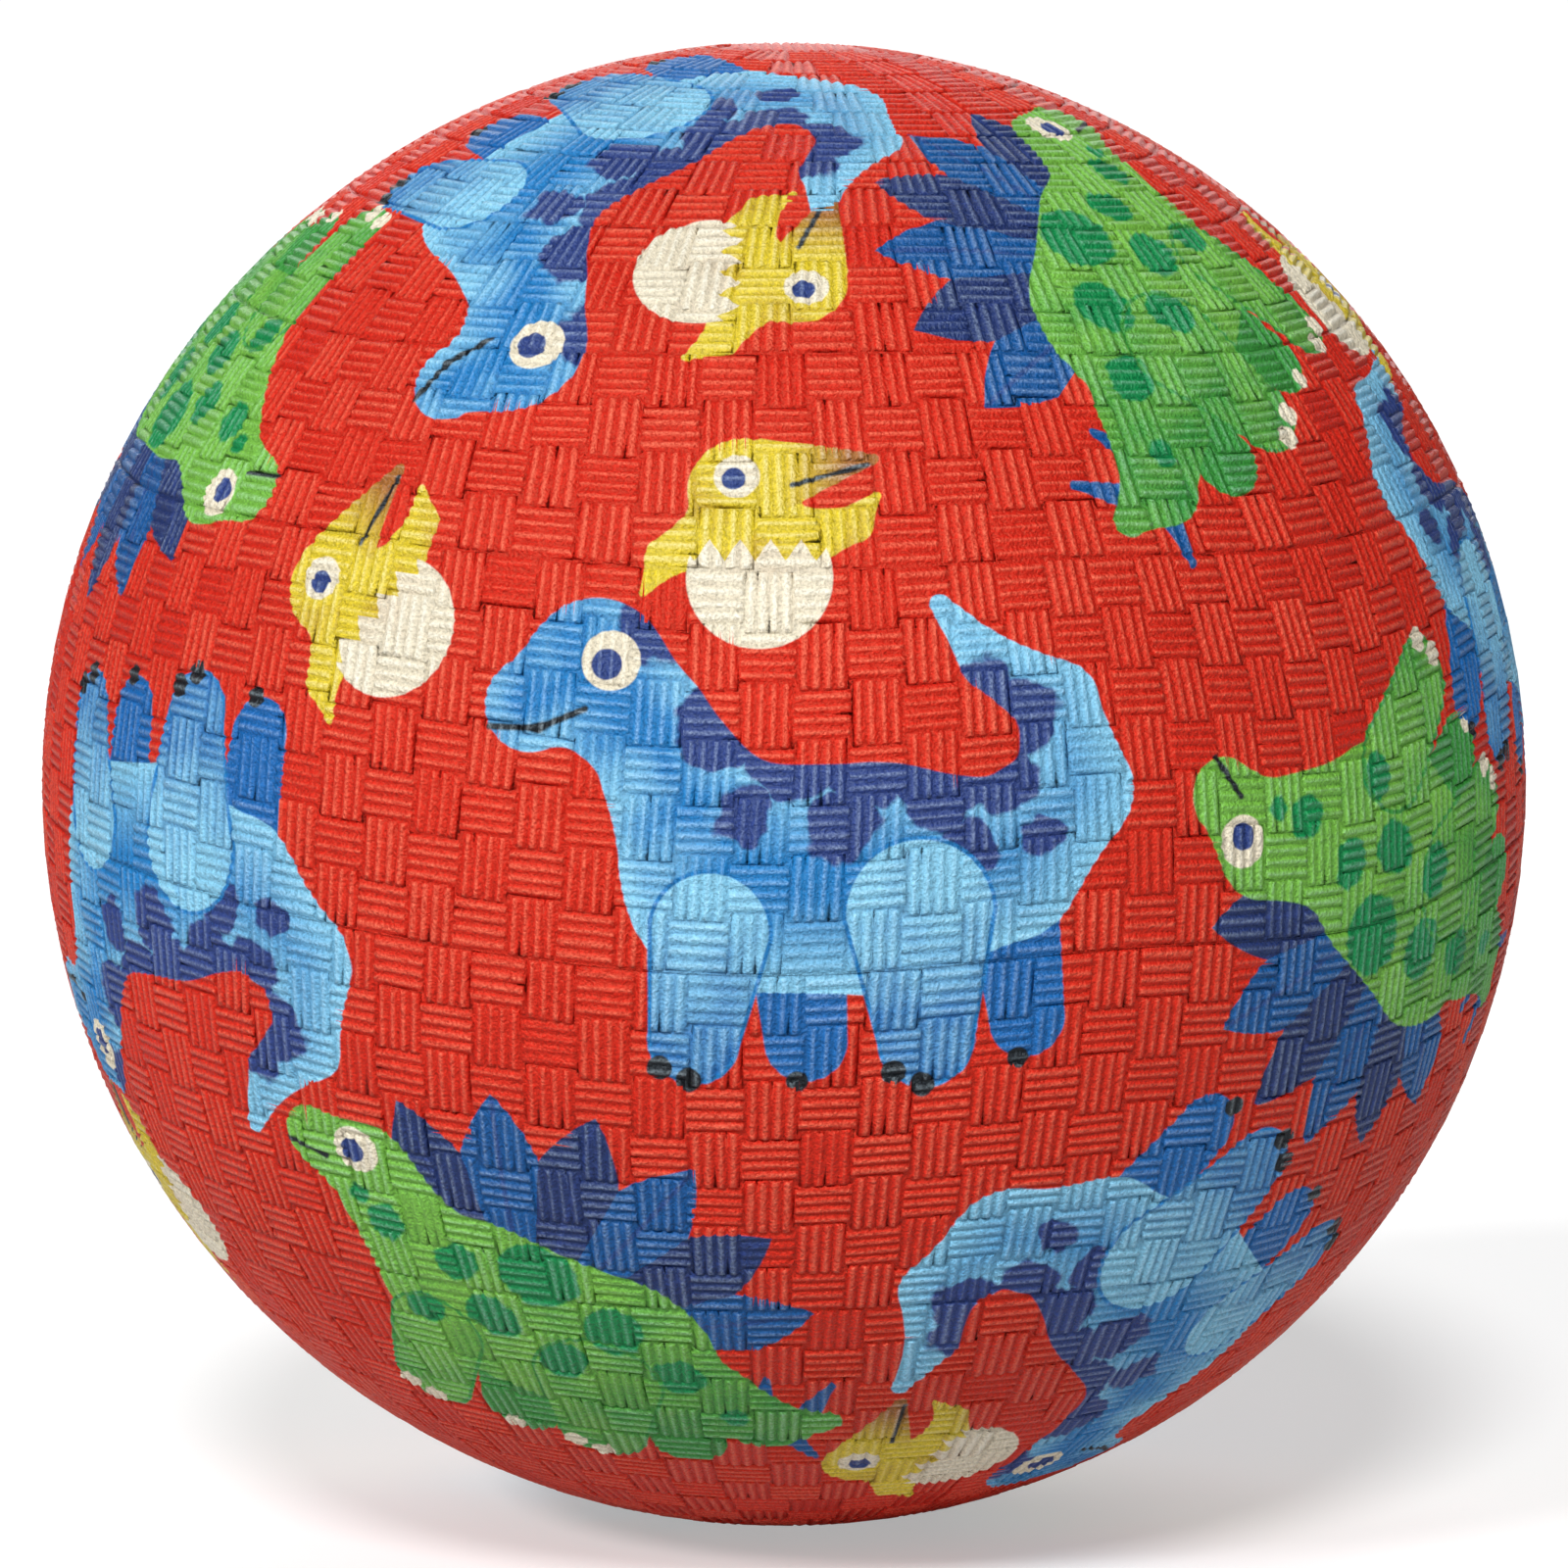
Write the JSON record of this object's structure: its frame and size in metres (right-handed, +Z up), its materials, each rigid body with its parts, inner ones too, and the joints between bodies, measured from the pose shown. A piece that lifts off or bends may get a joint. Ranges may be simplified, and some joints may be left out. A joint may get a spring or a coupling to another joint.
{
  "type": "playground ball",
  "caption": "Hollow rubber playground ball with a basket-weave moulded cover, an inner bladder and a flush needle valve on its back.",
  "frame": {"origin": "centre of the ball", "axes": "+Z up and -Y towards the printed front as it faces a viewer; +Y runs out along the needle valve, which all the layers share as their turning axis"},
  "size_m": [0.178, 0.1776, 0.178],
  "materials": {
    "cover_rubber": "red moulded rubber with a satin print",
    "bladder_rubber": "matte black butyl rubber",
    "housing_rubber": "satin black moulded rubber",
    "patch_rubber": "matte grey-black rubber sheet",
    "plug_rubber": "soft black rubber"
  },
  "bodies": {
    "root": {"outer_cover": "cover_rubber", "inner_bladder": "bladder_rubber", "valve_housing": "housing_rubber", "valve_patch": "patch_rubber", "valve_plug": "plug_rubber"}
  },
  "joints": []
}
